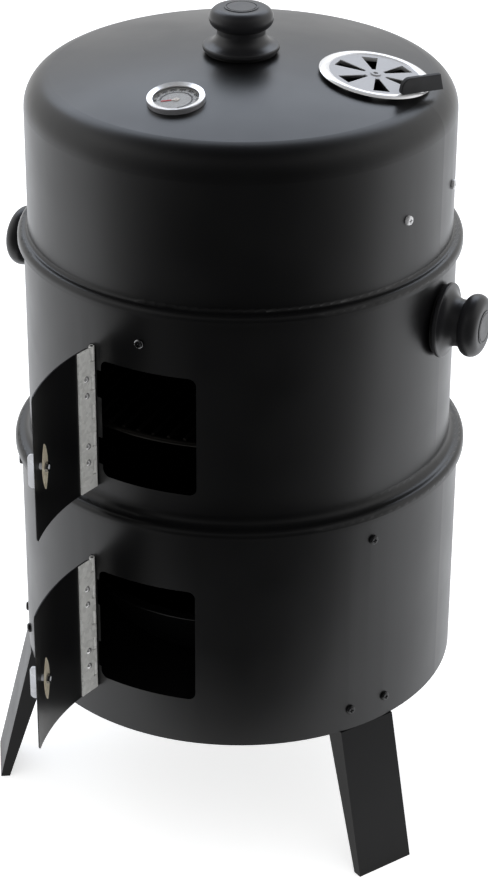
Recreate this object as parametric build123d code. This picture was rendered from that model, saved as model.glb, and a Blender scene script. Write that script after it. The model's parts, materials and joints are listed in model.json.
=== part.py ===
from build123d import *
import math
import os

# Upright barrel smoker in three stacked sections, in millimetres and degrees.
# The origin is on the floor under the barrel's axis, +Z is up and the doors face -Y.
# An azimuth is counted from the front, -Y, towards +X.

# Stack of sheet steel sections, from the floor up
leg_height = 147.0
lower_height = 222.0
middle_height = 208.0
lid_wall_height = 127.0
lower_radius = 209.2
middle_radius = 200.0
lid_radius = 195.8
sheet = 0.8
skirt_reach = 5.6
skirt_drop = 3.3
shoulder_radius = 30.0
dome_radius = 800.0

# Clearances: pieces that come apart, fixed pieces, and the radial fit of pins and spindles
clear = 0.3
snug = 0.1
running = 0.05

# Door openings, doors and their hinges
opening_turn = 13.45
opening_height = 116.0
opening_corner = 7.0
lower_opening_rise = 48.0
upper_opening_rise = 37.0
door_lap = 11.0
door_lap_height = 13.0
door_corner = 5.0
door_sheet = 1.0
door_rest_angle = 90.0
hinge_reach = 54.9
notch_height = 27.0
notch_gap = 1.0
notch_corner = 1.5
leaf_sheet = 1.2
leaf_width = 21.0
leaf_inset = 0.5
frame_leaf_taper = 28.0
knuckle_slit = 2.0
pin_diameter = 2.5
knuckle_count = 10
knuckle_gap = 0.4
rivet_offset = 10.5
rivet_pair_height = 33.5
rivet_pitch = 16.5
rivet_diameter = 3.2
rivet_head = 6.4
rivet_rise = 1.9
rivet_tail = 5.0
rivet_tail_rise = 0.9

# Twist latches
latch_inset = 16.5
latch_drop = 3.0
cam_length = 44.0
cam_width = 14.0
cam_sheet = 1.2
spindle_diameter = 6.0
stud_diameter = 4.4
latch_nut_width = 8.0
latch_nut_rise = 3.0
handle_base = 17.0
handle_sheet = 2.0
handle_height = 33.0
handle_reach = 10.0
handle_drop = 6.0
handle_corner = 4.0
handle_notch = 3.0

# Legs: folded channels with a curved tab screwed inside the barrel
leg_azimuths = {"front_right": 60.0, "front_left": -60.0, "rear": 180.0}
leg_width = 60.8
leg_sheet = 1.5
leg_foot_radius = 243.7
leg_top_radius = 208.4
leg_flange_top = 22.0
leg_flange_foot = 9.0
leg_gap = 0.5
leg_tab_height = 40.0
leg_tab_overlap = 10.0
leg_screw_spread = 40.4
leg_screw_rise = 22.0

# Screws and nuts
screw_diameter = 4.0
screw_head = 9.0
screw_head_rise = 3.0
nut_width = 7.0
nut_rise = 3.2
thread_end = 1.0
pan_rounding = 0.6
recess_length = 0.5
recess_width = 0.13
hole_reach = 12.0

# Brackets that carry the bowl and the grates
bracket_width = 20.0
bracket_sheet = 1.5
bracket_drop = 9.0
bracket_rise = 7.0
bowl_screw_rise = 200.0
grate_screw_rise = 180.0
grate_screw_azimuth = -1.5
lower_ledge_rise = 79.0

# Ash floor, bowls and grates
ash_floor_rim = 5.0
bowl_sheet = 0.8
bowl_corner = 22.0
water_rim_radius = 172.0
water_mouth_radius = 158.0
water_base_radius = 118.0
water_depth = 76.0
charcoal_rim_radius = 166.0
charcoal_mouth_radius = 156.0
charcoal_base_radius = 122.0
charcoal_depth = 66.0
charcoal_grate_rise = 30.0
ledge_lap = 8.0
grate_room = 10.0
ring_wire = 5.0
bar_wire = 3.2
bar_pitch = 15.0
weld_sink = 0.6

# Moulded knobs, one on the lid and one on each side
knob_flange = 69.0
knob_flange_rise = 4.5
knob_neck = 43.5
knob_neck_start = 15.0
knob_head = 58.0
knob_head_level = 29.0
knob_height = 38.5
knob_cap = 30.7
knob_cap_depth = 2.5
knob_cap_rise = 0.6
knob_groove_inset = 1.5
knob_groove_width = 0.9
knob_bore_depth = 22.0
knob_spacer = 64.0
knob_spacer_rise = 2.5
side_knob_rise = 158.0
right_knob_azimuth = 90.2
left_knob_azimuth = -92.0
knob_screw_diameter = 5.0
knob_screw_head = 11.0
knob_screw_head_rise = 3.6

# Thermometer on the lid
thermometer_reach = 117.0
thermometer_azimuth = -4.0
bezel_diameter = 51.5
bezel_rise = 5.0
bezel_wall = 0.8
bezel_lip = 5.3
bezel_dish = 1.2
case_wall = 0.8
dial_sheet = 0.4
dial_depth = 1.2
glass_sheet = 0.8
needle_sheet = 0.3
needle_width = 1.6
needle_reach = 13.2
needle_tail = 3.2
needle_hub = 5.0
needle_rest = 215.0
stem_diameter = 5.0
stem_length = 62.0
stem_tip_rounding = 2.0
stem_thread = 8.0
stem_thread_length = 12.0
stem_nut_width = 13.0
stem_nut_rise = 4.0

# Damper on the lid: a turning disc over matching holes
damper_reach = 124.3
damper_azimuth = 96.1
damper_diameter = 99.0
damper_sheet = 0.8
damper_lift = 2.0
damper_rim_width = 8.0
damper_rim_rise = 1.3
damper_hole_count = 6
damper_hole_turn = 24.6
damper_hole_inner = 10.0
damper_hole_outer = 36.6
damper_hole_inner_width = 3.4
damper_hole_outer_width = 15.0
damper_rivet = 6.4
damper_rivet_bore = 4.6
damper_rivet_head = 9.4
damper_rivet_rise = 0.8
damper_shoulder = 12.0
lever_azimuth = -133.5
lever_turn = 96.5
lever_sheet = 1.2
lever_length = 42.0
lever_root = 24.0
lever_rise = 9.0
grip_length = 48.0
grip_width = 4.4
grip_height = 15.2
grip_slant = 6.5
grip_nose = 8.0
grip_heel = 3.5
grip_rounding = 0.9

# Hook strap inside the lid, for hanging the lid on the barrel's edge
hook_azimuth = 86.2
hook_screw_spread = 93.0
hook_rise = 68.0
hook_strap_height = 18.0
hook_strap_end = 12.0
hook_sheet = 1.5
hook_width = 24.0
hook_gap = 10.0
hook_drop = 22.0
strap_corner = 3.0

lower_edge = leg_height
middle_edge = leg_height + lower_height
lid_edge = middle_edge + middle_height
shoulder_level = lid_edge + lid_wall_height
knuckle_radius = pin_diameter / 2 + running + leaf_sheet
up = (Align.CENTER, Align.CENTER, Align.MIN)
down = (Align.CENTER, Align.CENTER, Align.MAX)


def rz(radius, height):
    """Point in the half plane that is turned about the axis."""
    return (radius, 0, height)


def bend(centre, radius, start, end):
    """Arc in that half plane, between two angles counted from the outward direction."""
    angles = [math.radians(angle) for angle in (start, (start + end) / 2, end)]
    points = [rz(centre[0] + radius * math.cos(a), centre[1] + radius * math.sin(a)) for a in angles]
    return ThreePointArc(*points)


def run(*points):
    """Straight edges through points of the half plane."""
    return [Line(rz(*a), rz(*b)) for a, b in zip(points, points[1:])]


def turned(edges):
    """Solid of revolution about the axis."""
    return revolve(Face(Wire(edges)), Axis.Z)


def rod(diameter, bottom, top):
    """Upright round bar between two levels."""
    return Pos(0, 0, bottom) * Cylinder(diameter / 2, top - bottom, align=up)


def ring(inner, outer, bottom, top):
    """Upright cylindrical wall between two radii and two levels."""
    return rod(2 * outer, bottom, top) - rod(2 * inner, bottom, top)


def window(left, right, bottom, top, corner):
    """Block with rounded corners that cuts through the front half of the barrel."""
    face = RectangleRounded(right - left, top - bottom, corner)
    middle = Pos((left + right) / 2, (bottom + top) / 2)
    return extrude(Plane.XZ * middle * face, 2 * lower_radius)


def chord(radius, half_width):
    """Distance from the axis at which a flat face of that half width meets a round wall from inside."""
    return math.sqrt(radius**2 - half_width**2)


def facing(azimuth, radius, height):
    """Plane on the wall: x to the right, y up and z outwards."""
    angle = math.radians(azimuth)
    outward = Vector(math.sin(angle), -math.cos(angle), 0)
    rightward = Vector(math.cos(angle), math.sin(angle), 0)
    return Plane(outward * radius + Vector(0, 0, height), rightward, outward)


def on_dome(reach, azimuth):
    """Plane on the lid's dome: x along the rim, y up the slope and z outwards."""
    angle = math.radians(azimuth)
    slope = math.asin(reach / dome_radius)
    level = math.cos(slope)
    outward = Vector(math.sin(slope) * math.sin(angle), -math.sin(slope) * math.cos(angle), level)
    rightward = Vector(math.cos(angle), math.sin(angle), 0)
    return Plane(dome_centre() + outward * dome_radius, rightward, outward)


def group(shapes):
    """Several separate solids in one node."""
    return Compound([solid for shape in shapes for solid in shape.solids()])


def pan_screw(diameter, head, head_rise, length):
    """Cross-recess screw along z, with the underside of its head at zero."""
    top = rod(head, 0, head_rise)
    top = fillet(top.edges().group_by(Axis.Z)[-1], pan_rounding * head_rise)
    screw = top + rod(diameter, -length, 0)
    slot = Pos(0, 0, head_rise) * Box(recess_length * head, recess_width * head, head_rise)
    for angle in (0, 90):
        screw -= Rot(0, 0, angle) * slot
    return screw


def hex_nut(width, rise, bore):
    """Hexagon nut along z that hangs below zero."""
    prism = extrude(RegularPolygon(width / 2, 6, major_radius=False), rise)
    return Pos(0, 0, -rise) * prism - rod(bore + 2 * running, -rise, 0)


def rivet(grip):
    """Round-head rivet along z, its head above zero and its tail under the plates it holds."""
    head = Pos(0, 0, rivet_rise) * Sphere(dome_of(rivet_head, rivet_rise), align=down)
    head &= rod(2 * rivet_head, 0, rivet_rise)
    return head + rod(rivet_diameter, -grip, 0) + rod(rivet_tail, -grip - rivet_tail_rise, -grip)


def dome_of(width, rise):
    """Radius of the ball whose cap has that width and rise."""
    return (width**2 / 4 + rise**2) / (2 * rise)


def dome_centre():
    """Centre of the lid's dome, from the shoulder that runs into it."""
    apex = shoulder_level - chord(dome_radius - shoulder_radius, lid_radius - shoulder_radius)
    return Vector(0, 0, apex)


def bead(wall_radius, seat_radius, edge):
    """Cove, bead and skirt at a section's foot, which grip the section below.

    Gives the outer edges upwards, the inner edges downwards and the level of the cove's top."""
    middle = seat_radius - sheet / 2
    cove = middle - wall_radius
    roll = skirt_reach + sheet / 2
    start = edge + skirt_drop
    crown = start + roll
    outer = run((middle + roll, edge), (middle + roll, start))
    outer += [bend((middle, start), roll, 0, 90), bend((middle, crown + cove), cove, 270, 180)]
    inner = [bend((middle, crown + cove), cove + sheet, 180, 270)]
    inner += [bend((middle, start), roll - sheet, 90, 0)]
    inner += run((middle + roll - sheet, start), (middle + roll - sheet, edge), (middle + roll, edge))
    return outer, inner, crown + cove


def seat_level(edge):
    """Top edge of the section under a bead."""
    return edge + skirt_drop + skirt_reach + sheet / 2 - sheet - clear


def screw_through(wall_radius, plate):
    """Screw long enough for a wall, the plate behind it and a nut."""
    length = wall_radius - plate + nut_rise + thread_end
    return pan_screw(screw_diameter, screw_head, screw_head_rise, length)


def drilled(shape, places):
    """Cuts clearance holes for screws that point at the axis."""
    for azimuth, radius, height in places:
        hole = rod(screw_diameter + 4 * snug, -hole_reach, hole_reach)
        shape -= facing(azimuth, radius, height) * hole
    return shape


class Doorway:
    """One door opening in a barrel wall, with the places of its door, hinge and latch."""

    def __init__(self, wall_radius, bottom):
        self.wall = wall_radius
        self.bottom = bottom
        self.top = bottom + opening_height
        self.right = wall_radius * math.sin(math.radians(opening_turn))
        self.left = -self.right
        self.door_bottom = self.bottom - door_lap_height
        self.door_top = self.top + door_lap_height
        self.middle = (self.bottom + self.top) / 2
        self.leaf_inner = wall_radius + clear
        self.panel_inner = self.leaf_inner + leaf_sheet + snug
        self.panel_outer = self.panel_inner + door_sheet
        self.pin_radius = wall_radius + clear + knuckle_radius
        self.pin_x = -hinge_reach
        self.pin_y = -chord(self.pin_radius, self.pin_x)
        self.leaf_bottom = self.door_bottom + leaf_inset
        self.leaf_top = self.door_top - leaf_inset
        self.panel_right = self.right + door_lap
        self.latch_x = self.panel_right - latch_inset
        self.latch_azimuth = math.degrees(math.asin(self.latch_x / self.panel_outer))
        self.latch_height = self.middle - latch_drop
        self.cam_face = chord(wall_radius - sheet - clear, cam_length / 2) - self.panel_outer

    def cut(self):
        """Opening, with a notch in its hinge edge for the heads of each pair of rivets."""
        opening = window(self.left, self.right, self.bottom, self.top, opening_corner)
        side = self.pin_x + knuckle_radius + notch_gap
        for pair in (-rivet_pair_height, rivet_pair_height):
            low = self.middle + pair - notch_height / 2
            opening += window(side, self.left + opening_corner, low, low + notch_height, notch_corner)
        return opening

    def swung(self, shape):
        """Turns a piece of the closed door to where the door stands open."""
        there = Pos(self.pin_x, self.pin_y, 0)
        back = Pos(-self.pin_x, -self.pin_y, 0)
        return there * Rot(0, 0, -door_rest_angle) * back * shape

    def knuckles(self, first):
        """Levels of every second knuckle along the pin."""
        pitch = (self.leaf_top - self.leaf_bottom) / knuckle_count
        levels = [self.leaf_bottom + pitch * i for i in range(first, knuckle_count, 2)]
        return [(level + knuckle_gap / 2, level + pitch - knuckle_gap / 2) for level in levels]

    def leaf(self, inner, side, first, taper):
        """Hinge leaf: a strip on the wall or the door, rolled round the pin at its knuckles.

        A slit leaves room beside each knuckle of the other leaf."""
        near = self.pin_x + side * (knuckle_radius + knuckle_gap)
        far = self.pin_x + side * leaf_width
        wall = ring(inner, inner + leaf_sheet, self.leaf_bottom, self.leaf_top)
        left, right = sorted((near, far))
        drop = {near: 0, far: taper}
        outline = Polygon((left, self.leaf_bottom + drop[left]), (right, self.leaf_bottom + drop[right]),
                          (right, self.leaf_top - drop[right]), (left, self.leaf_top - drop[left]), align=None)
        outline = fillet(outline.vertices(), leaf_sheet / 2)
        plate = wall & extrude(Plane.XZ * outline, 2 * lower_radius)
        for bottom, top in self.knuckles(1 - first):
            left, right = sorted((near - side * knuckle_gap, near + side * knuckle_slit))
            plate -= window(left, right, bottom - knuckle_gap, top + knuckle_gap, leaf_sheet / 4)
        for bottom, top in self.knuckles(first):
            left, right = sorted((self.pin_x, near + side * knuckle_gap))
            plate += wall & window(left, right, bottom, top, leaf_sheet / 4)
            plate += Pos(self.pin_x, self.pin_y, 0) * rod(2 * knuckle_radius, bottom, top)
        bore = rod(pin_diameter + 2 * running, self.leaf_bottom, self.leaf_top)
        return plate - Pos(self.pin_x, self.pin_y, 0) * bore

    def rivet_places(self, side):
        """Azimuth and height of the four rivets of one leaf."""
        azimuth = math.degrees(math.asin((self.pin_x + side * rivet_offset) / self.wall))
        heights = [pair + step for pair in (-rivet_pair_height, rivet_pair_height)
                   for step in (-rivet_pitch / 2, rivet_pitch / 2)]
        return [(azimuth, self.middle + height) for height in heights]

    def riveted(self, shape, side):
        """Cuts the rivet holes of one leaf."""
        for azimuth, height in self.rivet_places(side):
            hole = rod(rivet_diameter + 2 * snug, -rivet_head, rivet_head)
            shape -= facing(azimuth, self.wall, height) * hole
        return shape

    def pin(self):
        """Plain hinge pin, flush with the ends of the leaves."""
        return Pos(self.pin_x, self.pin_y, 0) * rod(pin_diameter, self.leaf_bottom, self.leaf_top)

    def frame_leaf(self):
        return self.riveted(self.leaf(self.wall + snug, -1, 1, frame_leaf_taper), -1)

    def frame_rivets(self):
        """Rivets with their heads on the leaf and their tails inside the barrel."""
        outside = self.wall + snug + leaf_sheet + snug
        grip = outside - chord(self.wall - sheet, rivet_tail / 2)
        return group([facing(a, outside, h) * rivet(grip) for a, h in self.rivet_places(-1)])

    def door_leaf(self):
        return self.swung(self.riveted(self.leaf(self.leaf_inner, 1, 0, 0), 1))

    def door_rivets(self):
        """Rivets with their heads on the leaf, inside, and their tails outside the door."""
        inside = chord(self.leaf_inner, rivet_head / 2)
        grip = self.panel_outer + snug - inside
        turned_in = Rot(180, 0, 0) * rivet(grip)
        return self.swung(group([facing(a, inside, h) * turned_in for a, h in self.rivet_places(1)]))

    def panel(self):
        """Door sheet, rolled to the barrel's curve."""
        left = self.pin_x + knuckle_radius + 2 * knuckle_gap
        wall = ring(self.panel_inner, self.panel_outer, self.door_bottom, self.door_top)
        sheet_cut = wall & window(left, self.panel_right, self.door_bottom, self.door_top, door_corner)
        spindle = rod(spindle_diameter + 2 * running, -handle_reach, handle_reach)
        sheet_cut -= self.latch_plane() * spindle
        return self.swung(self.riveted(sheet_cut, 1))

    def latch_plane(self):
        return facing(self.latch_azimuth, self.panel_outer, self.latch_height)

    def latch_handle(self):
        """Bent wing on a round foot, in one piece with the spindle through the door."""
        foot_top = clear + handle_sheet
        wing = Box(handle_sheet, handle_height, handle_reach - clear, align=up)
        wing = Pos(0, -handle_drop, clear) * wing
        wing = fillet(wing.edges().filter_by(Axis.X).group_by(Axis.Z)[-1], handle_corner)
        notch = Box(2 * handle_sheet, handle_height, handle_notch + clear, align=up)
        wing -= Pos(0, -handle_height / 2 - handle_base / 2, 0) * notch
        wing -= Pos(0, handle_height / 2 + handle_base / 2, 0) * notch
        handle = wing + rod(handle_base, clear, foot_top)
        handle += rod(spindle_diameter, self.cam_face, foot_top)
        stud_end = self.cam_face - cam_sheet - latch_nut_rise
        handle += rod(stud_diameter, stud_end, self.cam_face)
        return self.swung(self.latch_plane() * handle)

    def latch_cam(self):
        """Leaf-shaped tongue that turns behind the edge of the opening."""
        top = (0, cam_length / 2)
        bottom = (0, -cam_length / 2)
        sides = [ThreePointArc(top, (cam_width / 2, 0), bottom)]
        sides += [ThreePointArc(bottom, (-cam_width / 2, 0), top)]
        leaf = extrude(Face(Wire(sides)), cam_sheet, dir=(0, 0, -1))
        leaf -= rod(stud_diameter + 2 * running, -2 * cam_sheet, cam_sheet)
        return self.swung(self.latch_plane() * Pos(0, 0, self.cam_face) * leaf)

    def latch_nut(self):
        nut = hex_nut(latch_nut_width, latch_nut_rise, stud_diameter)
        return self.swung(self.latch_plane() * Pos(0, 0, self.cam_face - cam_sheet) * nut)


lower_doorway = Doorway(lower_radius, lower_edge + lower_opening_rise)
upper_doorway = Doorway(middle_radius, middle_edge + upper_opening_rise)
lower_inside = lower_radius - sheet
middle_inside = middle_radius - sheet
lid_inside = lid_radius - sheet

# Places of the radial screws: azimuth and height
leg_screw_angle = math.degrees(math.asin(leg_screw_spread / 2 / lower_radius))
leg_screw_level = lower_edge + leg_screw_rise
leg_screw_places = {
    name: [(azimuth + side * leg_screw_angle, leg_screw_level) for side in (-1, 1)]
    for name, azimuth in leg_azimuths.items()
}
bowl_bracket_places = [(azimuth, lower_edge + bowl_screw_rise) for azimuth in leg_azimuths.values()]
grate_screw_level = middle_edge + grate_screw_rise
grate_bracket_places = [(grate_screw_azimuth + turn, grate_screw_level) for turn in (0, 120, -120)]
ledge_level = middle_edge + lower_ledge_rise - bracket_rise
ledge_places = [(azimuth, ledge_level) for azimuth in leg_azimuths.values()]
hook_level = lid_edge + hook_rise
hook_angle = math.degrees(math.asin(hook_screw_spread / 2 / lid_radius))
hook_screw_places = [(hook_azimuth + side * hook_angle, hook_level) for side in (-1, 1)]
side_knob_level = middle_edge + side_knob_rise
knob_azimuths = {"right": right_knob_azimuth, "left": left_knob_azimuth}
tab_outer = lower_inside - snug
tab_inner = tab_outer - leg_sheet
strap_outer = lid_inside - snug
strap_inner = strap_outer - hook_sheet
bracket_seat = {radius: chord(radius, bracket_width / 2) - snug for radius in (lower_inside, middle_inside)}


# Lower section and what stands in it
def lower_barrel():
    shell = ring(lower_inside, lower_radius, lower_edge, seat_level(middle_edge))
    shell -= lower_doorway.cut()
    shell = lower_doorway.riveted(shell, -1)
    places = [place for pair in leg_screw_places.values() for place in pair] + bowl_bracket_places
    return drilled(shell, [(a, lower_radius, h) for a, h in places])


def leg(name):
    """Folded channel that leans outwards, with a curved tab at its head."""
    slope = (leg_foot_radius - leg_top_radius) / leg_height
    top = leg_height - leg_gap
    head = leg_foot_radius - slope * top

    def side(points, width):
        face = Face(Wire(run(*points, points[0])))
        return extrude(face, width / 2, dir=(0, -1, 0), both=True)

    outer = side([(leg_foot_radius, 0), (head, top), (head - leg_flange_top, top),
                  (leg_foot_radius - leg_flange_foot, 0)], leg_width)
    past = leg_sheet
    low = leg_foot_radius + slope * past - leg_sheet
    high = head - slope * past - leg_sheet
    depth = leg_flange_top + leg_foot_radius - head
    hollow = side([(low, -past), (high, top + past), (high - depth, top + past), (low - depth, -past)],
                  leg_width - 2 * leg_sheet)
    tab = ring(tab_inner, tab_outer, top - leg_tab_overlap, leg_height + leg_tab_height)
    tab &= Box(2 * lower_radius, leg_width, 4 * leg_height, align=(Align.MIN, Align.CENTER, Align.CENTER))
    shape = Rot(0, 0, leg_azimuths[name] - 90) * (outer - hollow + tab)
    return drilled(shape, [(a, lower_radius, h) for a, h in leg_screw_places[name]])


def leg_screws():
    places = [place for pair in leg_screw_places.values() for place in pair]
    return group([facing(a, lower_radius, h) * screw_through(lower_radius, tab_inner) for a, h in places])


def base_nuts():
    """Nuts of the leg screws and of the bowl bracket screws."""
    legs = [(a, h, tab_inner) for pair in leg_screw_places.values() for a, h in pair]
    inner = bracket_seat[lower_inside] - bracket_sheet
    brackets = [(a, h, inner) for a, h in bowl_bracket_places]
    nut = hex_nut(nut_width, nut_rise, screw_diameter)
    seats = [facing(a, chord(r, nut_width / math.sqrt(3)), h) for a, h, r in legs]
    seats += [facing(a, r, h) for a, h, r in brackets]
    return group([seat * nut for seat in seats])


def ash_floor():
    """Shallow tray that lies on the heads of the leg tabs."""
    rim = lower_inside - clear
    bottom = leg_height + leg_tab_height
    return turned(run((0, bottom), (rim, bottom), (rim, bottom + sheet + ash_floor_rim),
                      (rim - sheet, bottom + sheet + ash_floor_rim), (rim - sheet, bottom + sheet),
                      (0, bottom + sheet), (0, bottom)))


def bracket(seat, reach, drilled_through):
    """Angle of strip steel: a plate on the wall and a ledge that points at the axis."""
    height = bracket_drop + bracket_rise
    plate = Pos(0, -bracket_drop + height / 2, 0) * Box(bracket_width, height, bracket_sheet, align=down)
    length = seat - reach
    ledge = Box(bracket_width, bracket_sheet, length, align=down)
    angle = plate + Pos(0, bracket_rise - bracket_sheet / 2, 0) * ledge
    if drilled_through:
        angle -= rod(screw_diameter + 4 * snug, -2 * bracket_sheet, bracket_sheet)
    return angle


def bracket_set(places, inside, reach, drilled_through=True):
    seat = bracket_seat[inside]
    return group([facing(a, seat, h) * bracket(seat, reach, drilled_through) for a, h in places])


def bracket_screws(places, wall_radius, inside):
    screw = screw_through(wall_radius, bracket_seat[inside] - bracket_sheet)
    return group([facing(a, wall_radius, h) * screw for a, h in places])


class Bowl:
    """Pressed bowl with a flat bottom, a rounded corner, a sloping wall and a flat rim."""

    def __init__(self, rim_radius, mouth_radius, base_radius, depth, bottom):
        self.rim = rim_radius
        self.bottom = bottom
        self.top = bottom + depth
        self.lean = math.atan2(depth, mouth_radius - base_radius)
        self.flat = base_radius - bowl_corner * math.tan(self.lean / 2)

    def wall(self, corner, level):
        """Radius of the wall's outer or inner side, by its corner radius, at a level."""
        foot_radius = self.flat + corner * math.sin(self.lean)
        foot_level = self.bottom + bowl_corner - corner * math.cos(self.lean)
        return foot_radius + (level - foot_level) / math.tan(self.lean)

    def solid(self):
        inner_corner = bowl_corner - bowl_sheet
        turn = math.degrees(self.lean) - 90
        centre = (self.flat, self.bottom + bowl_corner)
        under = self.top - bowl_sheet

        def foot(corner):
            return (self.flat + corner * math.sin(self.lean), centre[1] - corner * math.cos(self.lean))

        edges = run((0, self.bottom), (self.flat, self.bottom))
        edges += [bend(centre, bowl_corner, -90, turn)]
        mouth = (self.wall(inner_corner, self.top), self.top)
        edges += run(foot(bowl_corner), (self.wall(bowl_corner, under), under), (self.rim, under),
                     (self.rim, self.top), mouth, foot(inner_corner))
        edges += [bend(centre, inner_corner, turn, -90)]
        edges += run((self.flat, self.bottom + bowl_sheet), (0, self.bottom + bowl_sheet), (0, self.bottom))
        return turned(edges)


def wire_grate(radius, level):
    """Ring of wire with a cross rail and parallel bars welded on top."""
    middle = radius - ring_wire / 2
    grate = Pos(0, 0, level) * Torus(middle, ring_wire / 2)
    grate += Pos(0, 0, level) * Rot(0, 90, 0) * Cylinder(ring_wire / 2, 2 * middle)
    bar_level = level + ring_wire / 2 + bar_wire / 2 - weld_sink
    count = int((middle - bar_pitch / 2) / bar_pitch)
    bars = []
    for i in range(-count, count + 1):
        length = 2 * chord(middle, i * bar_pitch)
        bars.append(Pos(i * bar_pitch, 0, bar_level) * Rot(90, 0, 0) * Cylinder(bar_wire / 2, length))
    return grate + bars


bowl_ledge = lower_edge + bowl_screw_rise + bracket_rise
water_bowl = Bowl(water_rim_radius, water_mouth_radius, water_base_radius, water_depth,
                  bowl_ledge + bowl_sheet - water_depth)
charcoal_bowl = Bowl(charcoal_rim_radius, charcoal_mouth_radius, charcoal_base_radius, charcoal_depth,
                     leg_height + leg_tab_height + sheet)
grate_radius = middle_inside - grate_room
upper_grate_level = grate_screw_level + bracket_rise + ring_wire / 2 + clear
lower_grate_level = middle_edge + lower_ledge_rise + ring_wire / 2 + clear
grate_ledge_reach = grate_radius - ring_wire - ledge_lap
bowl_ledge_reach = water_bowl.wall(bowl_corner, bowl_ledge) + 2 * clear


def charcoal_grate():
    """Small grate that rests on the bowl's sloping wall."""
    level = charcoal_bowl.bottom + charcoal_grate_rise
    wall = charcoal_bowl.wall(bowl_corner - bowl_sheet, level)
    middle = wall - (ring_wire / 2 + clear) / math.sin(charcoal_bowl.lean)
    return wire_grate(middle + ring_wire / 2, level)


# Middle section and what it carries
def middle_barrel():
    outer, inner, cove_top = bead(middle_radius, lower_radius, middle_edge)
    top = seat_level(lid_edge)
    wall = run((middle_radius, cove_top), (middle_radius, top), (middle_inside, top),
               (middle_inside, cove_top))
    shell = turned(outer + wall + inner) - upper_doorway.cut()
    shell = upper_doorway.riveted(shell, -1)
    for azimuth in knob_azimuths.values():
        hole = rod(knob_screw_diameter + 4 * snug, -knob_screw_head, knob_screw_head)
        shell -= facing(azimuth, middle_radius, side_knob_level) * hole
    return drilled(shell, [(a, middle_radius, h) for a, h in grate_bracket_places])


def grate_bracket_nuts():
    nut = hex_nut(nut_width, nut_rise, screw_diameter)
    seat = bracket_seat[middle_inside] - bracket_sheet
    return group([facing(a, seat, h) * nut for a, h in grate_bracket_places])


def knob():
    """Moulded knob along z: flange, coved neck, round head, cap recess and blind screw bore."""
    flange = knob_flange / 2
    neck = knob_neck / 2
    head = knob_head / 2
    cap = knob_cap / 2 + snug
    edge = knob_flange_rise / 3
    floor = knob_height - knob_cap_depth
    roundness = knob_height - knob_head_level
    crown = head - roundness
    fold = math.acos((neck - crown) / roundness)
    edges = run((0, 0), (flange - edge, 0))
    edges += [bend((flange - edge, edge), edge, -90, 0)]
    edges += run((flange, edge), (flange, knob_flange_rise - edge))
    edges += [bend((flange - edge, knob_flange_rise - edge), edge, 0, 90)]
    edges += [Bezier(rz(flange - edge, knob_flange_rise), rz(neck + edge, knob_flange_rise + edge),
                     rz(neck, knob_neck_start))]
    edges += run((neck, knob_neck_start), (neck, knob_head_level - roundness * math.sin(fold)))
    edges += [bend((crown, knob_head_level), roundness, -math.degrees(fold), 90)]
    edges += run((crown, knob_height), (cap, knob_height), (cap, floor), (0, floor), (0, 0))
    return turned(edges) - rod(knob_screw_diameter + 2 * running, 0, knob_bore_depth)


def knob_cap_disc():
    """Flat cap pressed into the knob's head, with a ring groove near its edge."""
    floor = knob_height - knob_cap_depth
    cap = rod(knob_cap, floor, knob_height + knob_cap_rise)
    inner = knob_cap / 2 - knob_groove_inset - knob_groove_width
    groove = ring(inner, inner + knob_groove_width, knob_height, knob_height + 2 * knob_cap_rise)
    return cap - groove


def knob_spacer_disc():
    return rod(knob_spacer, 0, knob_spacer_rise) - rod(knob_screw_diameter + 4 * snug, 0, knob_spacer_rise)


def knob_screw(wall_drop):
    """Screw from inside the wall into the knob, along z, with the knob's spacer on the wall at zero."""
    length = wall_drop + knob_spacer_rise + knob_bore_depth - thread_end
    screw = pan_screw(knob_screw_diameter, knob_screw_head, knob_screw_head_rise, length)
    return Pos(0, 0, -wall_drop) * Rot(180, 0, 0) * screw


side_wall_drop = middle_radius - chord(middle_inside, knob_screw_head / 2)
dome_wall_drop = dome_radius - chord(dome_radius - sheet, knob_screw_head / 2)
side_planes = {name: facing(a, middle_radius, side_knob_level) for name, a in knob_azimuths.items()}
on_spacer = Pos(0, 0, knob_spacer_rise)


# Lid and what it carries
lid_top = on_dome(0, 0)
thermometer_plane = on_dome(thermometer_reach, thermometer_azimuth)
damper_plane = on_dome(damper_reach, damper_azimuth)
dome_inside = dome_radius - sheet


def damper_holes(depth):
    """Wedge holes in a ring about z."""
    inner = damper_hole_inner_width / 2
    outer = damper_hole_outer_width / 2
    wedge = Polygon((damper_hole_inner, -inner), (damper_hole_outer, -outer), (damper_hole_outer, outer),
                    (damper_hole_inner, inner), align=None)
    block = extrude(wedge, depth / 2, both=True)
    return [Rot(0, 0, damper_hole_turn + i * 360 / damper_hole_count) * block for i in range(damper_hole_count)]


def lid_shell():
    outer, inner, cove_top = bead(lid_radius, middle_radius, lid_edge)
    centre = dome_centre().Z
    corner = (lid_radius - shoulder_radius, shoulder_level)
    angle = math.degrees(math.atan2(shoulder_level - centre, corner[0]))
    edges = outer + run((lid_radius, cove_top), (lid_radius, shoulder_level))
    edges += [bend(corner, shoulder_radius, 0, angle), bend((0, centre), dome_radius, angle, 90)]
    edges += run((0, centre + dome_radius), (0, centre + dome_inside))
    edges += [bend((0, centre), dome_inside, 90, angle), bend(corner, shoulder_radius - sheet, angle, 0)]
    edges += run((lid_inside, shoulder_level), (lid_inside, cove_top)) + inner
    shell = turned(edges)
    shell -= lid_top * rod(knob_screw_diameter + 4 * snug, -knob_screw_head, knob_screw_head)
    shell -= thermometer_plane * rod(stem_thread + 4 * snug, -stem_thread, stem_thread)
    shell -= damper_plane * rod(damper_rivet + 2 * snug, -damper_rivet_head, damper_rivet_head)
    for hole in damper_holes(damper_hole_outer):
        shell -= damper_plane * hole
    return drilled(shell, [(a, lid_radius, h) for a, h in hook_screw_places])


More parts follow.
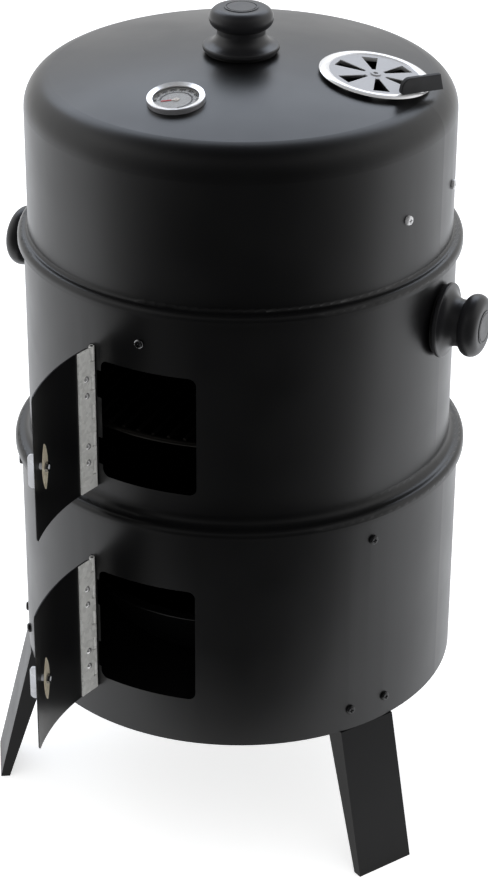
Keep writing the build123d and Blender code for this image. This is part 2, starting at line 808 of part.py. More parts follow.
def lid_hook():
    """Curved strap inside the lid with a tongue that hooks over the barrel's edge."""
    half = hook_screw_spread / 2 + hook_strap_end
    low = hook_level - hook_strap_height / 2
    high = hook_level + hook_strap_height / 2
    strap = ring(strap_inner, strap_outer, low, high) & window(-half, half, low, high, strap_corner)
    back = strap_inner - hook_gap
    ledge = Pos(0, -strap_inner, low) * Box(hook_width, hook_gap + hook_sheet, hook_sheet,
                                            align=(Align.CENTER, Align.MIN, Align.MIN))
    tongue = Pos(0, -back, low + hook_sheet) * Box(hook_width, hook_sheet, hook_drop + hook_sheet,
                                                   align=(Align.CENTER, Align.MIN, Align.MAX))
    shape = Rot(0, 0, hook_azimuth) * (strap + ledge + tongue)
    return drilled(shape, [(a, lid_radius, h) for a, h in hook_screw_places])


def lid_hook_screws():
    screw = screw_through(lid_radius, strap_inner)
    return group([facing(a, lid_radius, h) * screw for a, h in hook_screw_places])


def lid_hook_nuts():
    nut = hex_nut(nut_width, nut_rise, screw_diameter)
    seat = chord(strap_inner, nut_width / math.sqrt(3))
    return group([facing(a, seat, h) * nut for a, h in hook_screw_places])


case_outer = bezel_diameter / 2 - bezel_wall - running
lip_level = bezel_rise - bezel_dish - bezel_wall
case_top = lip_level - glass_sheet - 2 * snug
dial_top = case_top - dial_depth
needle_bottom = dial_top + clear


def thermometer_case():
    """Shallow cup behind the dial."""
    inside = case_outer - case_wall
    floor = dial_top - dial_sheet
    cup = rod(2 * case_outer, 0, case_top) - rod(2 * inside, floor, case_top)
    return thermometer_plane * cup


def thermometer_bezel():
    """Spun ring whose dished lip holds the glass on the case."""
    outer = bezel_diameter / 2
    inside = outer - bezel_wall
    opening = outer - bezel_lip
    edges = run((inside, 0), (outer, 0), (outer, bezel_rise - bezel_wall))
    edges += [bend((inside, bezel_rise - bezel_wall), bezel_wall, 0, 90)]
    edges += run((inside, bezel_rise), (opening, bezel_rise - bezel_dish), (opening, lip_level),
                 (inside, lip_level), (inside, 0))
    return thermometer_plane * turned(edges)


def thermometer_dial():
    """Printed disc with a short post for the needle's hub."""
    dial = rod(2 * (case_outer - case_wall - snug), dial_top - dial_sheet, dial_top)
    post = rod(needle_hub / 3, dial_top, needle_bottom + needle_sheet)
    return thermometer_plane * (dial + post)


def thermometer_needle():
    """Pointer with a round hub on the dial's post."""
    length = needle_reach + needle_tail
    arm = Pos((needle_reach - needle_tail) / 2, 0, needle_bottom)
    arm *= Box(length, needle_width, needle_sheet, align=up)
    needle = arm + rod(needle_hub, needle_bottom, needle_bottom + 2 * needle_sheet)
    needle -= rod(needle_hub / 3 + 2 * running, needle_bottom - clear, needle_bottom + 2 * needle_sheet)
    return thermometer_plane * Rot(0, 0, needle_rest) * needle


def thermometer_glass():
    glass = rod(2 * case_outer, case_top + snug, case_top + snug + glass_sheet)
    return thermometer_plane * glass


def thermometer_stem():
    """Threaded neck and probe behind the case."""
    stem = rod(stem_thread, -stem_thread_length, 0) + rod(stem_diameter, -stem_length, 0)
    tip = stem.edges().group_by(Axis.Z)[0]
    return thermometer_plane * fillet(tip, stem_tip_rounding)


def thermometer_nut():
    drop = dome_radius - chord(dome_inside, stem_nut_width / math.sqrt(3))
    return thermometer_plane * Pos(0, 0, -drop) * hex_nut(stem_nut_width, stem_nut_rise, stem_thread)


damper_top = damper_lift + damper_sheet
damper_crest = (damper_diameter - damper_rim_width) / 2


def damper_disc():
    """Pressed disc with a rolled rim, six holes and an upright tongue for the grip."""
    rim_top = damper_top + damper_rim_rise
    roll = dome_of(damper_rim_width, damper_rim_rise)
    centre = (damper_crest, rim_top - roll)
    skin = roll - damper_sheet
    foot = math.degrees(math.asin((damper_lift - centre[1]) / roll))
    face = 180 - math.degrees(math.asin((damper_top - centre[1]) / roll))
    hollow = math.degrees(math.asin((damper_lift - centre[1]) / skin))
    span = skin * math.cos(math.radians(hollow))
    outer = damper_crest + roll * math.cos(math.radians(foot))
    inner = damper_crest + roll * math.cos(math.radians(face))
    edges = run((0, damper_lift), (damper_crest - span, damper_lift))
    edges += [bend(centre, skin, 180 - hollow, hollow)]
    edges += run((damper_crest + span, damper_lift), (outer, damper_lift))
    edges += [bend(centre, roll, foot, face)]
    edges += run((inner, damper_top), (0, damper_top), (0, damper_lift))
    disc = turned(edges) - rod(damper_rivet + 2 * running, 0, 2 * rim_top)
    for hole in damper_holes(damper_hole_outer):
        disc -= hole
    low = (Align.MIN, Align.CENTER, Align.MIN)
    tongue = Box(lever_length, lever_sheet, lever_rise, align=low)
    tongue -= Pos(lever_root, 0, 0) * Box(lever_length, 2 * lever_sheet, damper_sheet + 2 * snug, align=low)
    return damper_plane * (disc + lever_place() * tongue)


def lever_place():
    """Start of the tongue on the rim's crest, pointing nearly along the rim."""
    rim_top = damper_top + damper_rim_rise
    return Rot(0, 0, lever_azimuth) * Pos(damper_crest, 0, rim_top - damper_sheet) * Rot(0, 0, lever_turn)


def damper_grip():
    """Rubber sleeve pushed over the tongue, with a rounded nose and a slanted end."""
    nose = (lever_length - grip_length) / 2 + snug
    end = nose + grip_length
    foot = damper_sheet + 2 * snug
    top = foot + grip_height
    side = Polygon((nose, foot), (end, foot), (end - grip_slant, top), (nose, top), align=None)
    side = fillet(side.vertices().group_by(Axis.X)[0].sort_by(Axis.Y)[-1], grip_nose)
    side = fillet(side.vertices().group_by(Axis.Y)[0].sort_by(Axis.X)[0], grip_heel)
    body = extrude(Plane.XZ * side, grip_width / 2, both=True)
    body = fillet(body.faces().filter_by(Axis.Y).edges(), grip_rounding)
    slot = Pos(-snug, 0, 0) * Box(lever_length + 2 * snug, lever_sheet + 2 * snug, lever_rise + snug,
                                  align=(Align.MIN, Align.CENTER, Align.MIN))
    return damper_plane * lever_place() * (body - slot)


def damper_rivet_pin():
    """Shouldered tube rivet that holds the disc off the lid and lets it turn."""
    under = dome_radius - chord(dome_inside, damper_rivet_head / 2)
    head_bottom = damper_top + clear
    head_top = head_bottom + damper_rivet_rise
    tail = under + damper_rivet_rise
    pin = rod(damper_rivet, -under, head_bottom) + rod(damper_shoulder, 0, damper_lift - clear)
    pin += rod(damper_rivet_head, head_bottom, head_top)
    pin += rod(damper_rivet_head, -tail, -under)
    return damper_plane * (pin - rod(damper_rivet_bore, -tail, head_top))


nodes = {
    "lower_barrel": lower_barrel(),
    "ash_floor": ash_floor(),
    "leg_screws": leg_screws(),
    "base_nuts": base_nuts(),
    "bowl_brackets": bracket_set(bowl_bracket_places, lower_inside, bowl_ledge_reach),
    "bowl_bracket_screws": bracket_screws(bowl_bracket_places, lower_radius, lower_inside),
    "charcoal_bowl": charcoal_bowl.solid(),
    "charcoal_grate": charcoal_grate(),
    "water_bowl": water_bowl.solid(),
    "middle_barrel": middle_barrel(),
    "grate_brackets": bracket_set(grate_bracket_places, middle_inside, grate_ledge_reach),
    "grate_bracket_screws": bracket_screws(grate_bracket_places, middle_radius, middle_inside),
    "grate_bracket_nuts": grate_bracket_nuts(),
    "lower_grate_ledges": bracket_set(ledge_places, middle_inside, grate_ledge_reach, False),
    "lower_grate": wire_grate(grate_radius, lower_grate_level),
    "upper_grate": wire_grate(grate_radius, upper_grate_level),
    "side_knob_caps": group([plane * on_spacer * knob_cap_disc() for plane in side_planes.values()]),
    "side_knob_spacers": group([plane * knob_spacer_disc() for plane in side_planes.values()]),
    "side_knob_screws": group([plane * knob_screw(side_wall_drop) for plane in side_planes.values()]),
    "lid_shell": lid_shell(),
    "lid_knob": lid_top * on_spacer * knob(),
    "lid_knob_cap": lid_top * on_spacer * knob_cap_disc(),
    "lid_knob_spacer": lid_top * knob_spacer_disc(),
    "lid_knob_screw": lid_top * knob_screw(dome_wall_drop),
    "lid_hook": lid_hook(),
    "lid_hook_screws": lid_hook_screws(),
    "lid_hook_nuts": lid_hook_nuts(),
    "thermometer_case": thermometer_case(),
    "thermometer_bezel": thermometer_bezel(),
    "thermometer_dial": thermometer_dial(),
    "thermometer_needle": thermometer_needle(),
    "thermometer_glass": thermometer_glass(),
    "thermometer_stem": thermometer_stem(),
    "thermometer_nut": thermometer_nut(),
    "damper_disc": damper_disc(),
    "damper_grip": damper_grip(),
    "damper_rivet": damper_rivet_pin(),
}
for name in leg_azimuths:
    nodes["leg_" + name] = leg(name)
for name, plane in side_planes.items():
    nodes[name + "_side_knob"] = plane * on_spacer * knob()
for name, doorway in (("lower", lower_doorway), ("upper", upper_doorway)):
    nodes[name + "_hinge_frame_leaf"] = doorway.frame_leaf()
    nodes[name + "_hinge_frame_rivets"] = doorway.frame_rivets()
    nodes[name + "_hinge_pin"] = doorway.pin()
    nodes[name + "_hinge_door_leaf"] = doorway.door_leaf()
    nodes[name + "_hinge_door_rivets"] = doorway.door_rivets()
    nodes[name + "_door_panel"] = doorway.panel()
    nodes[name + "_latch_handle"] = doorway.latch_handle()
    nodes[name + "_latch_cam"] = doorway.latch_cam()
    nodes[name + "_latch_nut"] = doorway.latch_nut()

os.makedirs("parts", exist_ok=True)
for name, shape in nodes.items():
    export_step(shape, os.path.join("parts", name + ".step"))
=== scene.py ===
import json
import math

import bmesh
import bpy
from mathutils import Euler, Matrix, Vector


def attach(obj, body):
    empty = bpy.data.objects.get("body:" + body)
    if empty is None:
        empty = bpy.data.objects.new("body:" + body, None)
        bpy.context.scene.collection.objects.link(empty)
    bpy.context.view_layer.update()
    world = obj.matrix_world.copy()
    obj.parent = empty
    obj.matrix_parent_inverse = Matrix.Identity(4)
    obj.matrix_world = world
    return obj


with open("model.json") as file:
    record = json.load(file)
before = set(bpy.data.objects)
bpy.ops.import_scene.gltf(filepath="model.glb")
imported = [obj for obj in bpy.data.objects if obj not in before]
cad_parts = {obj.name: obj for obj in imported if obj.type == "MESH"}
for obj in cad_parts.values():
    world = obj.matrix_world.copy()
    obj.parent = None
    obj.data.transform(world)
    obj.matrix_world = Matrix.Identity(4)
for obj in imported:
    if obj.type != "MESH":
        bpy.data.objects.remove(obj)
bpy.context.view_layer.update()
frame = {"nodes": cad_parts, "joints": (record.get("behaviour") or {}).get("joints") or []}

scene = bpy.context.scene
scene.view_settings.view_transform = "Standard"
MM = 0.001


# Barrel sections, lid shell, doors and ash floor: rolled and pressed steel sheet, sprayed all over
# with heat-resistant paint and baked. Satin black with a faint orange peel and a soft, broad sheen.
def linear(colour):
    """sRGB hex colour as linear RGBA."""
    parts = [int(colour[i:i + 2], 16) / 255 for i in (1, 3, 5)]
    return [v / 12.92 if v <= 0.04045 else ((v + 0.055) / 1.055) ** 2.4 for v in parts] + [1.0]


def add(tree, kind, inputs=(), **settings):
    """Adds a shader node with its settings, and sets or links its inputs."""
    made = tree.nodes.new("ShaderNode" + kind)
    for name, value in settings.items():
        setattr(made, name, value)
    for name, value in dict(inputs).items():
        if isinstance(value, bpy.types.NodeSocket):
            tree.links.new(value, made.inputs[name])
        else:
            made.inputs[name].default_value = value
    return made


def blank(name):
    """New material with an empty node tree, and the tree's Object coordinates."""
    made = bpy.data.materials.new(name)
    made.use_nodes = True
    made.node_tree.nodes.clear()
    return made, made.node_tree, add(made.node_tree, "TexCoord").outputs["Object"]


def mottled(name, dark, light, patch, gloss, grain, depth, **constants):
    """Finish whose colour and gloss drift in patches, over a fine grain of that depth; sizes in mm."""
    made, tree, place = blank(name)
    cloud = add(tree, "TexNoise", {"Vector": place, "Scale": 1000 / patch, "Detail": 4.0}).outputs["Fac"]
    tint = add(tree, "Mix", {"Factor": cloud, 6: linear(dark), 7: linear(light)}, data_type="RGBA")
    sheen = add(tree, "MapRange", {"Value": cloud, "From Min": 0.3, "From Max": 0.7,
                                   "To Min": gloss[0], "To Max": gloss[1]})
    pits = add(tree, "TexNoise", {"Vector": place, "Scale": 1000 / grain, "Detail": 2.0}).outputs["Fac"]
    relief = add(tree, "Bump", {"Strength": 1.0, "Distance": depth * MM, "Height": pits})
    values = {"Base Color": tint.outputs[2], "Roughness": sheen.outputs["Result"],
              "Normal": relief.outputs["Normal"]}
    values.update({socket.replace("_", " "): value for socket, value in constants.items()})
    shader = add(tree, "BsdfPrincipled", values)
    add(tree, "OutputMaterial", {"Surface": shader.outputs["BSDF"]})
    return made


def coat(finish, *names):
    """Gives CAD nodes a finish."""
    for name in names:
        surfaces = frame["nodes"][name].data.materials
        surfaces.clear()
        surfaces.append(finish)


barrel_paint = mottled("baked_heat_paint", "#060607", "#09090a", 60, (0.30, 0.36), 2.5, 0.004)
coat(barrel_paint, "lower_barrel", "middle_barrel", "lid_shell", "lower_door_panel", "upper_door_panel",
     "ash_floor")


# Legs: channels folded from thicker steel sheet and powder coated before they are screwed on.
# The powder lies a little thicker and duller than the barrel's paint.
leg_paint = mottled("powder_coat", "#050506", "#080809", 40, (0.32, 0.38), 2.0, 0.006,
                    Specular_IOR_Level=0.25)
coat(leg_paint, "leg_front_right", "leg_front_left", "leg_rear")


# Screws and nuts: pressed cross-recess pan heads. Those of the lower section are black oxide. The zinc of the
# rest is one
# finish in two copies: a paler one for the lid's screws, most nuts and other small parts, as painted light,
# and a darker, polished one for the middle section's screws and the latch nuts, as painted shade.
black_oxide = mottled("black_oxide", "#0b0b0c", "#161617", 6, (0.22, 0.32), 0.8, 0.003)
coat(black_oxide, "leg_screws", "bowl_bracket_screws")
zinc_painted_lit = mottled("zinc_painted_lit", "#c9c9cb", "#dededf", 4, (0.16, 0.26), 0.8, 0.002, Metallic=0.5)
coat(zinc_painted_lit, "lid_hook_screws", "base_nuts", "grate_bracket_nuts", "lid_hook_nuts")
zinc_painted_shaded = mottled("zinc_painted_shaded", "#7c7c7e", "#a2a2a4", 4, (0.08, 0.14), 0.8, 0.002, Metallic=1.0)
coat(zinc_painted_shaded, "grate_bracket_screws")


# Brackets, ledges and the lid's hook: bent from plain strip steel and left with a dull rolled skin.
strip_steel = mottled("rolled_strip_steel", "#5d5d5f", "#77777a", 12, (0.38, 0.52), 1.2, 0.006, Metallic=1.0)
coat(strip_steel, "bowl_brackets", "grate_brackets", "lower_grate_ledges", "lid_hook")


# Charcoal bowl and water bowl: pressed from sheet, dipped and fired with black vitreous enamel.
# Dulled by use, with a slow ripple where the enamel ran.
fired_enamel = mottled("fired_enamel", "#040405", "#070708", 50, (0.34, 0.42), 14, 0.03)
coat(fired_enamel, "charcoal_bowl", "water_bowl")


# Grates: drawn steel wire, resistance welded and nickel plated. Their grey is painted dark as painted shade
# from the barrel round them, and drifts in patches.
plated_wire = mottled("shade_darkened_plated_wire", "#1b1a19", "#3c3a37", 18, (0.34, 0.50), 1.0, 0.003, Metallic=1.0)
coat(plated_wire, "charcoal_grate", "lower_grate", "upper_grate")


# Hinges: leaves stamped from galvanised sheet and rolled round a steel pin. The zinc froze in flat
# crystals a few millimetres across, each a slightly different grey. The leaf and rivets on the barrel's
# wall were sprayed with the barrel, up to the knuckles.
def galvanised(name, dark, light, crystal, gloss, paint=None):
    """Zinc crystals of that size in mm, each with its own grey and gloss; paint is a colour, its gloss,
    the pin's place, the distance from the pin at which the paint starts and its soft edge, in mm."""
    made, tree, place = blank(name)
    bent = add(tree, "TexNoise", {"Vector": place, "Scale": 1500 / crystal, "Detail": 2.0})
    shift = add(tree, "VectorMath", {0: bent.outputs["Color"], "Scale": 0.5 * crystal * MM},
                operation="SCALE")
    frayed = add(tree, "VectorMath", {0: place, 1: shift.outputs["Vector"]}, operation="ADD")
    cells = add(tree, "TexVoronoi", {"Vector": frayed.outputs["Vector"], "Scale": 1000 / crystal})
    grey = add(tree, "SeparateColor", {"Color": cells.outputs["Color"]}).outputs["Red"]
    tint = add(tree, "Mix", {"Factor": grey, 6: linear(dark), 7: linear(light)}, data_type="RGBA").outputs[2]
    sheen = add(tree, "MapRange", {"Value": grey, "To Min": gloss[0], "To Max": gloss[1]}).outputs["Result"]
    metal = 0.2
    if paint:
        colour, paint_gloss, pin, start, blur = paint
        away = add(tree, "VectorMath", {0: place, 1: pin}, operation="SUBTRACT").outputs["Vector"]
        level = add(tree, "VectorMath", {0: away, 1: (1, 1, 0)}, operation="MULTIPLY").outputs["Vector"]
        reach = add(tree, "VectorMath", {0: level}, operation="LENGTH").outputs["Value"]
        painted = add(tree, "MapRange", {"Value": reach, "From Min": start * MM,
                                         "From Max": (start + blur) * MM}).outputs["Result"]
        tint = add(tree, "Mix", {"Factor": painted, 6: tint, 7: linear(colour)}, data_type="RGBA").outputs[2]
        sheen = add(tree, "Mix", {"Factor": painted, "A": sheen, "B": paint_gloss},
                    data_type="FLOAT").outputs[0]
        metal = add(tree, "Mix", {"Factor": painted, "A": metal, "B": 0.0}, data_type="FLOAT").outputs[0]
    shader = add(tree, "BsdfPrincipled", {"Base Color": tint, "Roughness": sheen, "Metallic": metal})
    add(tree, "OutputMaterial", {"Surface": shader.outputs["BSDF"]})
    return made


zinc_greys = ("#c9c9c6", "#dfdfdc", 3.5, (0.46, 0.58))
knuckle_reach = 2.9
spray_edge = 0.4
hinge_zinc = galvanised("galvanised_sheet", *zinc_greys)
rivet_steel = mottled("bright_rivet_steel", "#dcdcdd", "#f2f2f3", 3, (0.10, 0.18), 0.8, 0.003, Metallic=0.75)
for level in ("lower", "upper"):
    pin = next(j["pos_m"] for j in frame["joints"] if j["name"] == level + "_door_swing")
    paint = ("#0c0c0d", 0.34, pin, knuckle_reach, spray_edge)
    sprayed = galvanised(level + "_sprayed_hinge_sheet", *zinc_greys, paint)
    coat(sprayed, level + "_hinge_frame_leaf", level + "_hinge_frame_rivets")
    coat(hinge_zinc, level + "_hinge_door_leaf")
    coat(rivet_steel, level + "_hinge_door_rivets")
    coat(black_oxide, level + "_hinge_pin")


# Twist latches: a plated wing and spindle outside the door, a pale yellow zinc tongue and a nut inside.
latch_plate = mottled("bright_nickel_plate", "#eceff6", "#f7f8fb", 8, (0.20, 0.30), 1.0, 0.003, Metallic=0.1)
yellow_zinc = mottled("yellow_zinc_plate", "#b3a68a", "#ece4d0", 7, (0.26, 0.38), 1.0, 0.004, Metallic=0.25)
for level in ("lower", "upper"):
    coat(latch_plate, level + "_latch_handle")
    coat(yellow_zinc, level + "_latch_cam")
    coat(zinc_painted_shaded, level + "_latch_nut")


# Knobs: moulded phenolic, one on the lid and one on each side, each with a cap pressed into its head,
# a spacer disc behind it and a screw from inside.
phenolic = mottled("moulded_phenolic", "#19191b", "#1f1f21", 20, (0.32, 0.40), 1.6, 0.004)
coat(phenolic, "lid_knob", "left_side_knob", "right_side_knob")
cap_plastic = mottled("moulded_cap", "#1c1c1f", "#232326", 12, (0.30, 0.38), 1.2, 0.003)
coat(cap_plastic, "lid_knob_cap", "side_knob_caps")
spacer_plastic = mottled("fibre_spacer", "#060606", "#0a0a0a", 10, (0.6, 0.7), 1.0, 0.006)
coat(spacer_plastic, "lid_knob_spacer", "side_knob_spacers")
coat(zinc_painted_lit, "lid_knob_screw", "side_knob_screws")


# Thermometer: a spun chrome bezel holds a flat glass over a printed dial, with a red pointer on a pale
# hub. The steel case, threaded neck, nut and probe are behind it.
def on_dome(joint_name):
    """Place on the lid's dome at a turning piece: x along the rim, y up the slope, z outwards."""
    joint = next(j for j in frame["joints"] if j["name"] == joint_name)
    outward = Vector(joint["axis"])
    if outward.z < 0:
        outward.negate()
    along = Vector((-outward.y, outward.x, 0)).normalized()
    place = Matrix((along, outward.cross(along), outward)).transposed().to_4x4()
    place.translation = joint["pos_m"]
    return place


def from_centre(tree, place, centre):
    """Coordinates about a piece's own axis, and the distance from that axis in metres."""
    local = add(tree, "Mapping", {"Vector": place, "Location": centre.translation,
                                  "Rotation": centre.to_euler()}, vector_type="TEXTURE").outputs["Vector"]
    flat = add(tree, "VectorMath", {0: local, 1: (1, 1, 0)}, operation="MULTIPLY").outputs["Vector"]
    return local, add(tree, "VectorMath", {0: flat}, operation="LENGTH").outputs["Value"]


speck_size = 1.5
speck_gloss = 0.04


def banded(name, centre, edge, inside, outside, blur):
    """Finish that changes at a radius in mm: a colour, a roughness and a metal share on either side."""
    made, tree, place = blank(name)
    local, reach = from_centre(tree, place, centre)
    band = add(tree, "MapRange", {"Value": reach, "From Min": (edge - blur) * MM,
                                  "From Max": (edge + blur) * MM}).outputs["Result"]
    speck = add(tree, "TexNoise", {"Vector": local, "Scale": 1000 / speck_size, "Detail": 3.0}).outputs["Fac"]
    soft = add(tree, "MapRange", {"Value": speck, "From Min": 0.3, "From Max": 0.7,
                                  "To Min": inside[1] - speck_gloss,
                                  "To Max": inside[1] + speck_gloss}).outputs["Result"]
    tint = add(tree, "Mix", {"Factor": band, 6: linear(inside[0]), 7: linear(outside[0])}, data_type="RGBA")
    gloss = add(tree, "Mix", {"Factor": band, "A": soft, "B": outside[1]}, data_type="FLOAT")
    metal = add(tree, "Mix", {"Factor": band, "A": inside[2], "B": outside[2]}, data_type="FLOAT")
    shader = add(tree, "BsdfPrincipled", {"Base Color": tint.outputs[2], "Roughness": gloss.outputs[0],
                                          "Metallic": metal.outputs[0]})
    add(tree, "OutputMaterial", {"Surface": shader.outputs["BSDF"]})
    return made


thermometer = on_dome("needle_turn")
dial_level = 0.8
ink_depth = 0.06
scale_start = 206.0
scale_sweep = -262.0
arc_radius = 13.6
arc_width = 0.9
arc_steps = 80
tick_length = 1.2
tick_width = 0.6
tick_count = 50
long_tick_every = 5
number_radius = 18.2
number_height = 4.0
number_boldness = 0.18
numbers = [str(value) for value in range(50, 551, 50)]

dial_print = bmesh.new()
start = Matrix.Rotation(math.radians(scale_start), 4, "Z")
there = Matrix.Translation((arc_radius * MM, 0, (dial_level + ink_depth / 2) * MM))
section = Matrix.Rotation(math.radians(90), 4, "X") @ Matrix.Diagonal((arc_width * MM, ink_depth * MM, 1, 1))
bmesh.ops.create_grid(dial_print, x_segments=1, y_segments=1, size=0.5, matrix=start @ there @ section)
whole = dial_print.verts[:] + dial_print.edges[:] + dial_print.faces[:]
bmesh.ops.spin(dial_print, geom=whole, axis=(0, 0, 1), angle=math.radians(scale_sweep), steps=arc_steps)
bmesh.ops.transform(dial_print, matrix=thermometer, verts=dial_print.verts)
for i in range(tick_count + 1):
    turn = Matrix.Rotation(math.radians(scale_start + scale_sweep * i / tick_count), 4, "Z")
    length = tick_length * (2 if i % long_tick_every == 0 else 1)
    size = Matrix.Diagonal((length * MM, tick_width * MM, ink_depth * MM, 1))
    there = Matrix.Translation(((arc_radius + length / 2) * MM, 0, (dial_level + ink_depth / 2) * MM))
    bmesh.ops.create_cube(dial_print, size=1, matrix=thermometer @ turn @ there @ size)
for i, text in enumerate(numbers):
    lettering = bpy.data.curves.new("number_" + text, "FONT")
    lettering.body = text
    lettering.size = number_height * MM
    lettering.align_x = "CENTER"
    lettering.align_y = "CENTER"
    lettering.extrude = ink_depth / 2 * MM
    lettering.offset = number_boldness * MM
    holder = bpy.data.objects.new("number_" + text, lettering)
    scene.collection.objects.link(holder)
    flat = bpy.data.meshes.new_from_object(holder.evaluated_get(bpy.context.evaluated_depsgraph_get()))
    bpy.data.objects.remove(holder)
    angle = scale_start + scale_sweep * i / (len(numbers) - 1)
    turn = Matrix.Rotation(math.radians(angle), 4, "Z")
    there = Matrix.Translation((number_radius * MM, 0, (dial_level + ink_depth / 2) * MM))
    upright = Matrix.Rotation(math.radians(-90), 4, "Z")
    flat.transform(thermometer @ turn @ there @ upright)
    dial_print.from_mesh(flat)
    bpy.data.meshes.remove(flat)
bmesh.ops.recalc_face_normals(dial_print, faces=dial_print.faces)
print_mesh = bpy.data.meshes.new("dial_print")
dial_print.to_mesh(print_mesh)
dial_print.free()
print_piece = bpy.data.objects.new("dial_print", print_mesh)
scene.collection.objects.link(print_piece)
print_mesh.materials.append(mottled("dial_ink", "#0a0a0a", "#141414", 1.5, (0.5, 0.6), 0.6, 0.001))
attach(print_piece, "lid")

# The bezel's crest inside this radius is painted paler, as a painted highlight, and its outer edge and side a
# darker grey, as painted shade.
bezel_lip_radius = 25.0
bezel_chrome_lit_and_shaded = banded("spun_chrome_painted_light", thermometer, bezel_lip_radius,
                      ("#f2f2f3", 0.16, 0.7), ("#c4c4c8", 0.20, 0.8), 0.3)
coat(bezel_chrome_lit_and_shaded, "thermometer_bezel")
dial_paint = mottled("printed_dial_sheet", "#999998", "#abaaa9", 6, (0.4, 0.5), 0.8, 0.002)
coat(dial_paint, "thermometer_dial")
hub_reach = 4.2
pointer_red = banded("pointer_paint", thermometer, hub_reach,
                     ("#d6cdc5", 0.45, 0.0), ("#b8141e", 0.45, 0.0), 0.2)
coat(pointer_red, "thermometer_needle")
coat(zinc_painted_lit, "thermometer_case", "thermometer_stem", "thermometer_nut")
window_glass = mottled("window_glass", "#202020", "#242424", 10, (0.02, 0.03), 5, 0.0005, Alpha=0.05, IOR=1.5)
coat(window_glass, "thermometer_glass")


# Damper: a pressed steel disc with a rolled rim, turning on a shouldered rivet. The rim is polished
# chrome, the face satin, and a black rubber sleeve is pushed over the tongue.
damper = on_dome("damper_turn")
damper_face_radius = 41.6
damper_steel = banded("satin_and_chrome_steel", damper, damper_face_radius,
                      ("#b4b4b6", 0.55, 0.3), ("#f6f6f7", 0.14, 0.45), 0.3)
coat(damper_steel, "damper_disc", "damper_rivet")
grip_rubber = mottled("black_rubber", "#17171a", "#1d1d20", 12, (0.55, 0.65), 1.0, 0.006)
coat(grip_rubber, "damper_grip")


# Camera: at the photograph's viewing angle, with the frame's long side upright.
camera_azimuth = 24.4
camera_reach = 2.208
camera_height = 1.541
camera_pitch = 28.20
camera_roll = 0.248
image_height = 878
film_height = 36.0
focal_length = 106.5
axis_offset = (-4.5, 1.7)

lens = bpy.data.cameras.new("photo_view")
lens.sensor_fit = "VERTICAL"
lens.sensor_height = film_height
lens.lens = focal_length
lens.shift_x = -axis_offset[0] / image_height
lens.shift_y = axis_offset[1] / image_height
camera = bpy.data.objects.new("photo_view", lens)
scene.collection.objects.link(camera)
turn = math.radians(camera_azimuth)
camera.location = (camera_reach * math.sin(turn), -camera_reach * math.cos(turn), camera_height)
aim = Euler((math.radians(90 - camera_pitch), 0, turn)).to_matrix()
camera.rotation_euler = (aim @ Matrix.Rotation(math.radians(camera_roll), 3, "Z")).to_euler()
scene.camera = camera


# Studio: a sheet of white paper under the object, which ends just in front of it, a large soft box high
# behind it, and a white surround that is dark towards the camera, so the black sheet is drawn by its edges.
paper_front = 0.42
paper_side = 12.0
paper_lift = 0.62
paper_mirrored = 0.43
fibre_patch = 30
towards_camera = Vector((math.sin(turn), -math.cos(turn), 0))
paper_mesh = bpy.data.meshes.new("studio_paper")
paper_form = bmesh.new()
middle = towards_camera * (paper_front - paper_side)
bmesh.ops.create_grid(paper_form, x_segments=1, y_segments=1, size=paper_side,
                      matrix=Matrix.Translation(middle) @ Matrix.Rotation(turn, 4, "Z"))
paper_form.to_mesh(paper_mesh)
paper_form.free()
paper = bpy.data.objects.new("studio_paper", paper_mesh)
scene.collection.objects.link(paper)

paper_white, tree, place = blank("matt_white_paper")
fibre = add(tree, "TexNoise", {"Vector": place, "Scale": 1000 / fibre_patch, "Detail": 3.0}).outputs["Fac"]
tint = add(tree, "Mix", {"Factor": fibre, 6: linear("#f5f5f5"), 7: linear("#f7f7f7")}, data_type="RGBA")
ray = add(tree, "LightPath").outputs
seen = add(tree, "Math", {0: ray["Is Camera Ray"], 1: ray["Is Transmission Ray"]}, operation="MAXIMUM")
lift = add(tree, "Math", {0: seen.outputs[0], 1: paper_lift}, operation="MULTIPLY")
glow = add(tree, "Math", {0: ray["Is Glossy Ray"], 1: paper_mirrored, 2: lift.outputs[0]},
           operation="MULTIPLY_ADD")
sheet = add(tree, "BsdfPrincipled", {"Base Color": tint.outputs[2], "Roughness": 0.9,
                                     "Specular IOR Level": 0.1, "Emission Color": linear("#ffffff"),
                                     "Emission Strength": glow.outputs[0]})
add(tree, "OutputMaterial", {"Surface": sheet.outputs["BSDF"]})
paper_mesh.materials.append(paper_white)

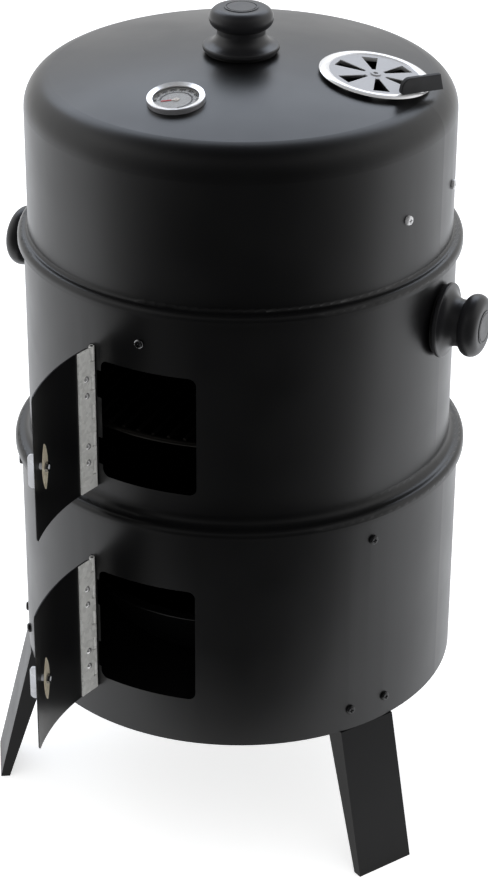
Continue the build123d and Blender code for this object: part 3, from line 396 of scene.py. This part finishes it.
box_width = 4.0
box_height = 1.7
box_distance = 3.2
box_elevation = 46.0
box_aim_height = 0.45
box_power = 42.0
lamp = bpy.data.lights.new("back_box", "AREA")
lamp.shape = "RECTANGLE"
lamp.size = box_width
lamp.size_y = box_height
lamp.energy = box_power
lamp.color = linear("#e0ecff")[:3]
back_box = bpy.data.objects.new("back_box", lamp)
scene.collection.objects.link(back_box)
above = math.radians(box_elevation)
outward = Vector((0, 0, math.sin(above))) - towards_camera * math.cos(above)
back_box.location = Vector((0, 0, box_aim_height)) + outward * box_distance
back_box.rotation_euler = outward.to_track_quat("Z", "Y").to_euler()

dark_edge = 0.95
dark_falloff = 1.8
overhead_edge = (0.65, 0.92)
fill_level = 0.8
world = bpy.data.worlds.new("white_surround")
scene.world = world
world.use_nodes = True
sky = world.node_tree
sky.nodes.clear()
ray = add(sky, "LightPath").outputs
seen = add(sky, "Math", {0: ray["Is Camera Ray"], 1: ray["Is Transmission Ray"]}, operation="MAXIMUM")
direction = add(sky, "TexCoord").outputs["Generated"]
facing = add(sky, "VectorMath", {0: direction, 1: towards_camera}, operation="DOT_PRODUCT").outputs["Value"]
away = add(sky, "MapRange", {"Value": facing, "From Min": dark_edge, "From Max": 0.0}).outputs["Result"]
faded = add(sky, "Math", {0: away, 1: dark_falloff}, operation="POWER").outputs[0]
height = add(sky, "SeparateXYZ", {"Vector": direction}).outputs["Z"]
below = add(sky, "MapRange", {"Value": height, "From Min": overhead_edge[1], "From Max": overhead_edge[0]})
mirrored = add(sky, "Math", {0: faded, 1: below.outputs["Result"]}, operation="MULTIPLY").outputs[0]
lit = add(sky, "Mix", {"Factor": ray["Is Glossy Ray"], "A": fill_level, "B": mirrored}, data_type="FLOAT")
strength = add(sky, "Mix", {"Factor": seen.outputs[0], "A": lit.outputs[0], "B": 1.0}, data_type="FLOAT")
backdrop = add(sky, "Background", {"Color": linear("#ffffff"), "Strength": strength.outputs[0]})
add(sky, "OutputWorld", {"Surface": backdrop.outputs["Background"]})
